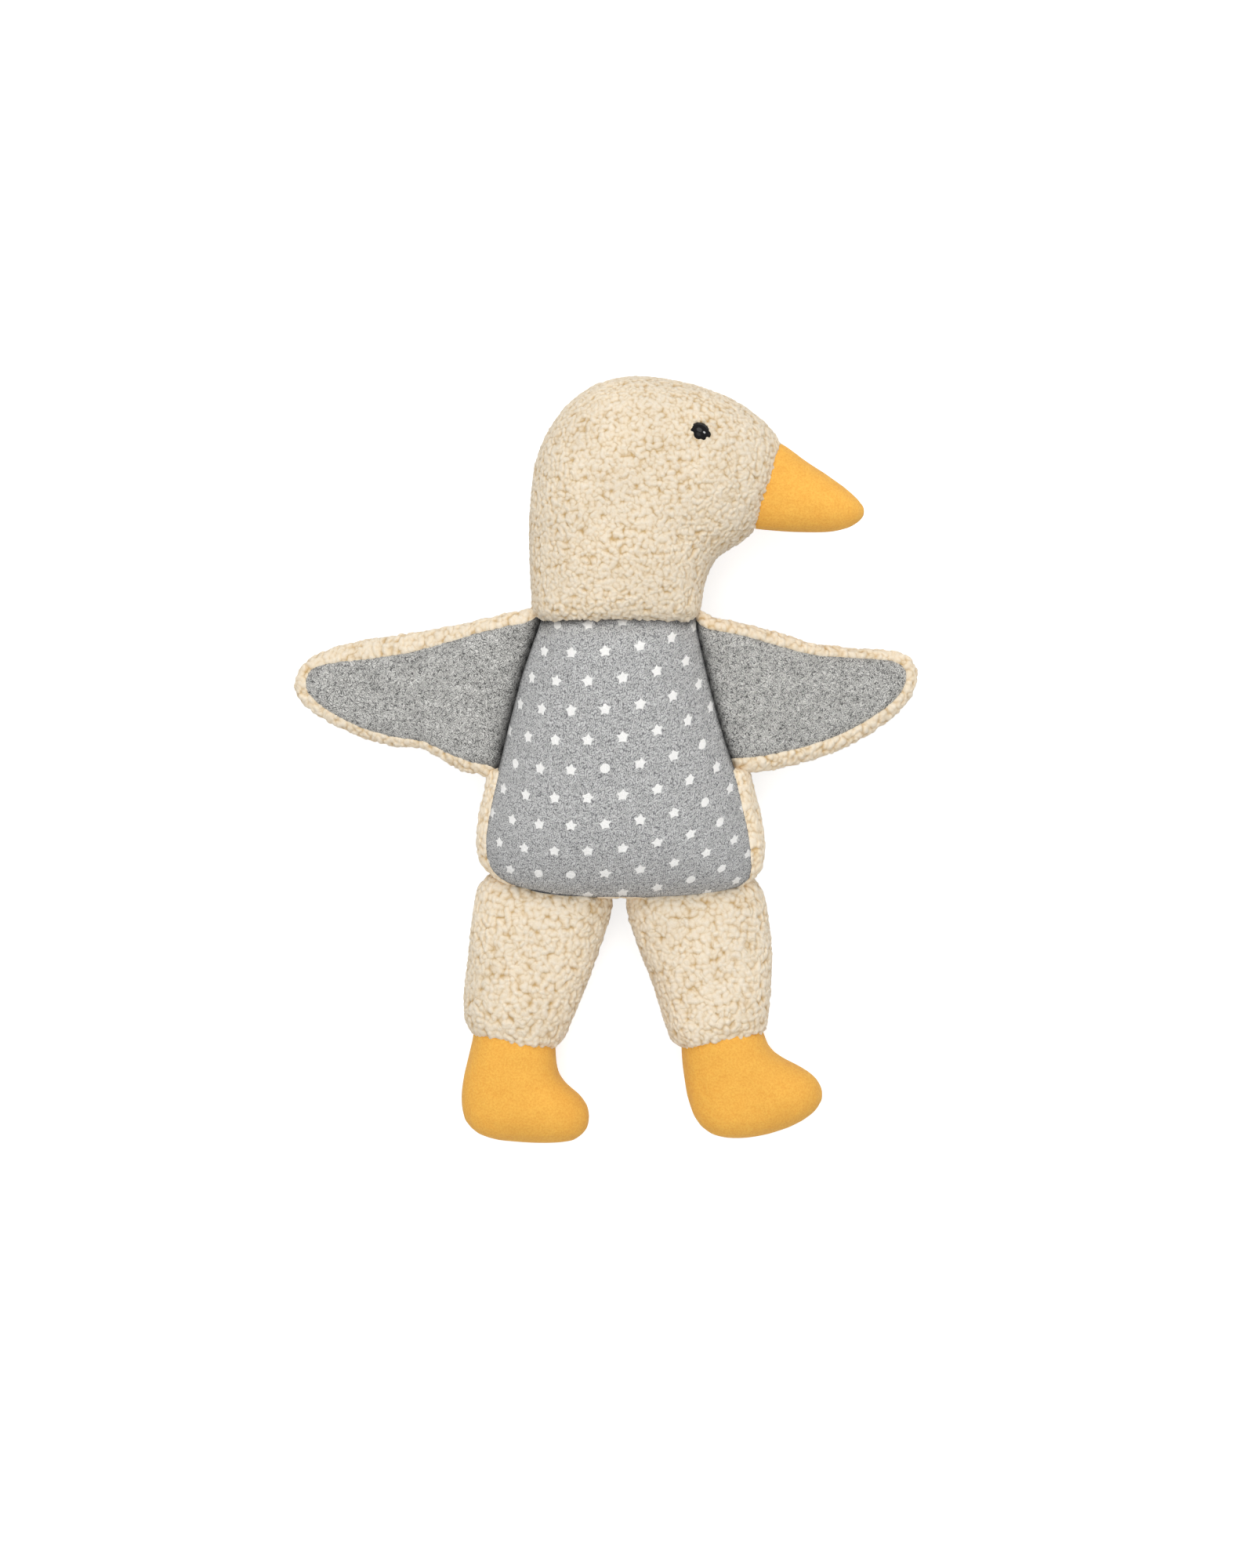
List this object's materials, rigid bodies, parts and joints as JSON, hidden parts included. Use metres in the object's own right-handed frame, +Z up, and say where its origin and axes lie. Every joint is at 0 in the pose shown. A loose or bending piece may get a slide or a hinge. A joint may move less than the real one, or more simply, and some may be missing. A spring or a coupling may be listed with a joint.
{
  "type": "duck rag doll",
  "caption": "Soft cloth duck doll with a head in profile, orange beak and feet, spread wings, curly cream cloth and a grey front printed with stars.",
  "frame": {"origin": "on the floor under the middle of the body, at the flat of its back", "axes": "the doll lies on its back: +Z up out of its front, +Y from the feet to the head, +X to the side that the beak points to, which is the doll's left"},
  "size_m": [0.2837, 0.3518, 0.0667],
  "materials": {
    "curly_cloth": "cream curly pile cloth, matte",
    "orange_fleece": "short-pile fleece, matte",
    "grey_fleece": "marled grey fleece, matte",
    "star_jersey": "grey melange jersey with white printed stars, matte",
    "stuffing": "white polyester fibre",
    "eye_bead": "glossy"
  },
  "bodies": {
    "root": {"head_right_panel": "curly_cloth", "head_left_panel": "curly_cloth", "head_stuffing": "stuffing", "beak_right_panel": "orange_fleece", "beak_left_panel": "orange_fleece", "beak_stuffing": "stuffing", "eye_right": "eye_bead", "eye_left": "eye_bead", "body_front_panel": "star_jersey", "body_back_panel": "curly_cloth", "body_stuffing": "stuffing", "wing_right_front_panel": "grey_fleece", "wing_right_back_panel": "curly_cloth", "wing_right_padding": "stuffing", "wing_left_front_panel": "grey_fleece", "wing_left_back_panel": "curly_cloth", "wing_left_padding": "stuffing", "leg_right_front_panel": "curly_cloth", "leg_right_back_panel": "curly_cloth", "leg_right_stuffing": "stuffing", "leg_left_front_panel": "curly_cloth", "leg_left_back_panel": "curly_cloth", "leg_left_stuffing": "stuffing", "foot_right_front_panel": "orange_fleece", "foot_right_back_panel": "orange_fleece", "foot_right_stuffing": "stuffing", "foot_left_front_panel": "orange_fleece", "foot_left_back_panel": "orange_fleece", "foot_left_stuffing": "stuffing"}
  },
  "joints": []
}
